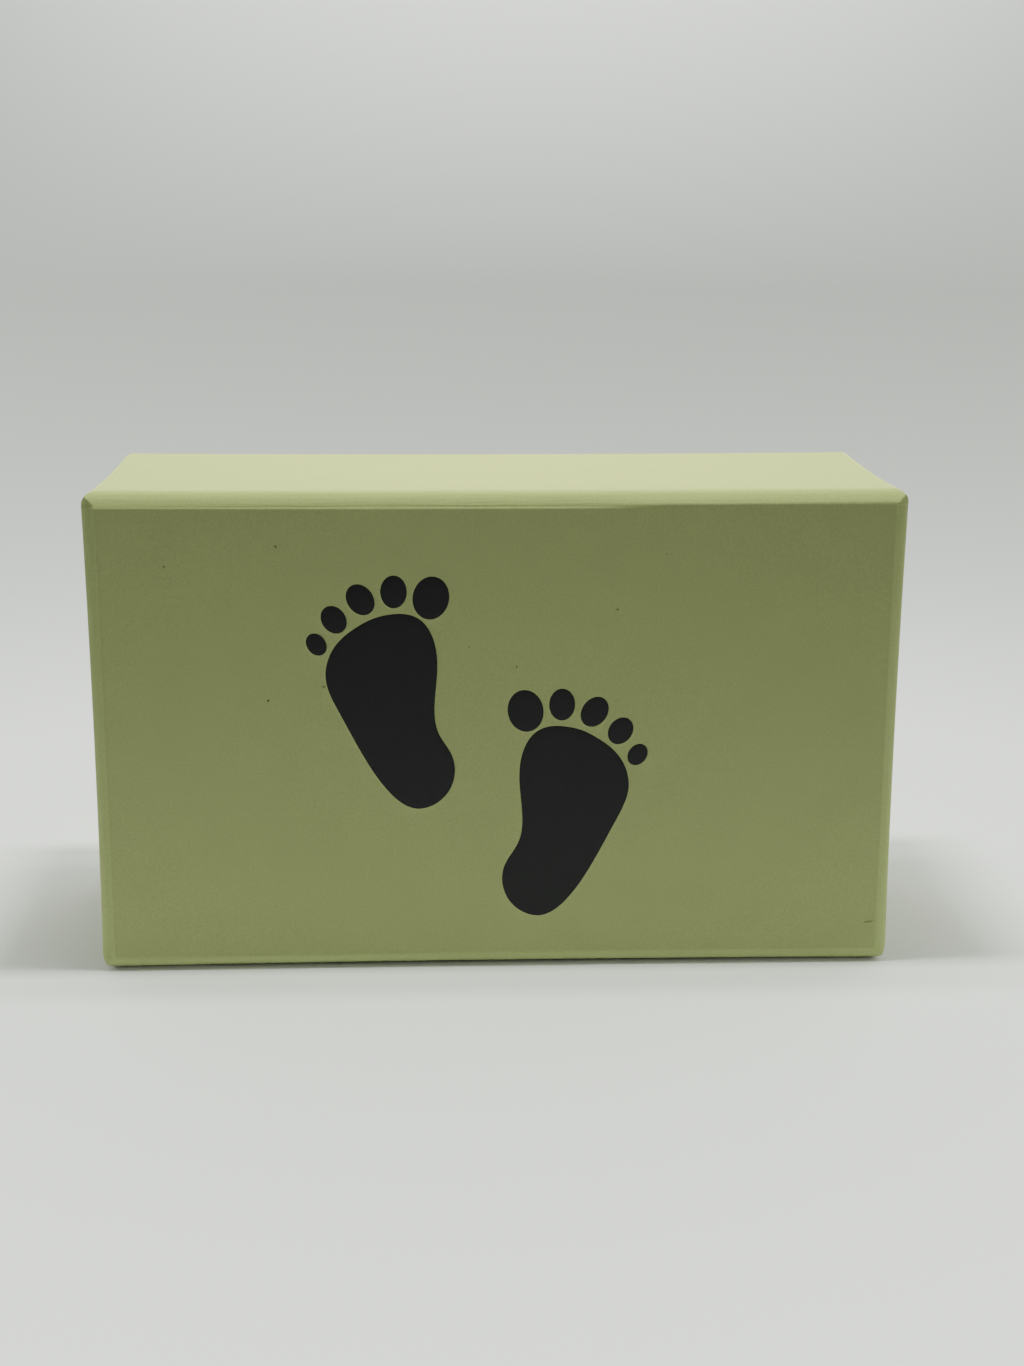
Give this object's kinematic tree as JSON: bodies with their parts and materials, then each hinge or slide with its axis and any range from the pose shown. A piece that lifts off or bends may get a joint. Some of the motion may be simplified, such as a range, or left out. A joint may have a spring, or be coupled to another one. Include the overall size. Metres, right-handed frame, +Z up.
{
  "type": "yoga block",
  "caption": "Firm closed-cell foam brick with routed round edges and a pair of bare footprints stamped in dark film on its front face.",
  "frame": {"origin": "middle of the underside, the long narrow side that the brick stands on", "axes": "+X along the brick's length, +Y from the stamped front face to the plain back face, +Z up"},
  "size_m": [0.23, 0.082, 0.14],
  "materials": {
    "eva_foam": "matt, pale yellow-green closed-cell foam with a skived, finely pored skin",
    "stamping_film": "matt black hot-stamped film"
  },
  "bodies": {
    "root": {"foam_block": "eva_foam", "left_footprint_sole": "stamping_film", "left_footprint_big_toe": "stamping_film", "left_footprint_second_toe": "stamping_film", "left_footprint_third_toe": "stamping_film", "left_footprint_fourth_toe": "stamping_film", "left_footprint_little_toe": "stamping_film", "right_footprint_sole": "stamping_film", "right_footprint_big_toe": "stamping_film", "right_footprint_second_toe": "stamping_film", "right_footprint_third_toe": "stamping_film", "right_footprint_fourth_toe": "stamping_film", "right_footprint_little_toe": "stamping_film"}
  },
  "joints": []
}
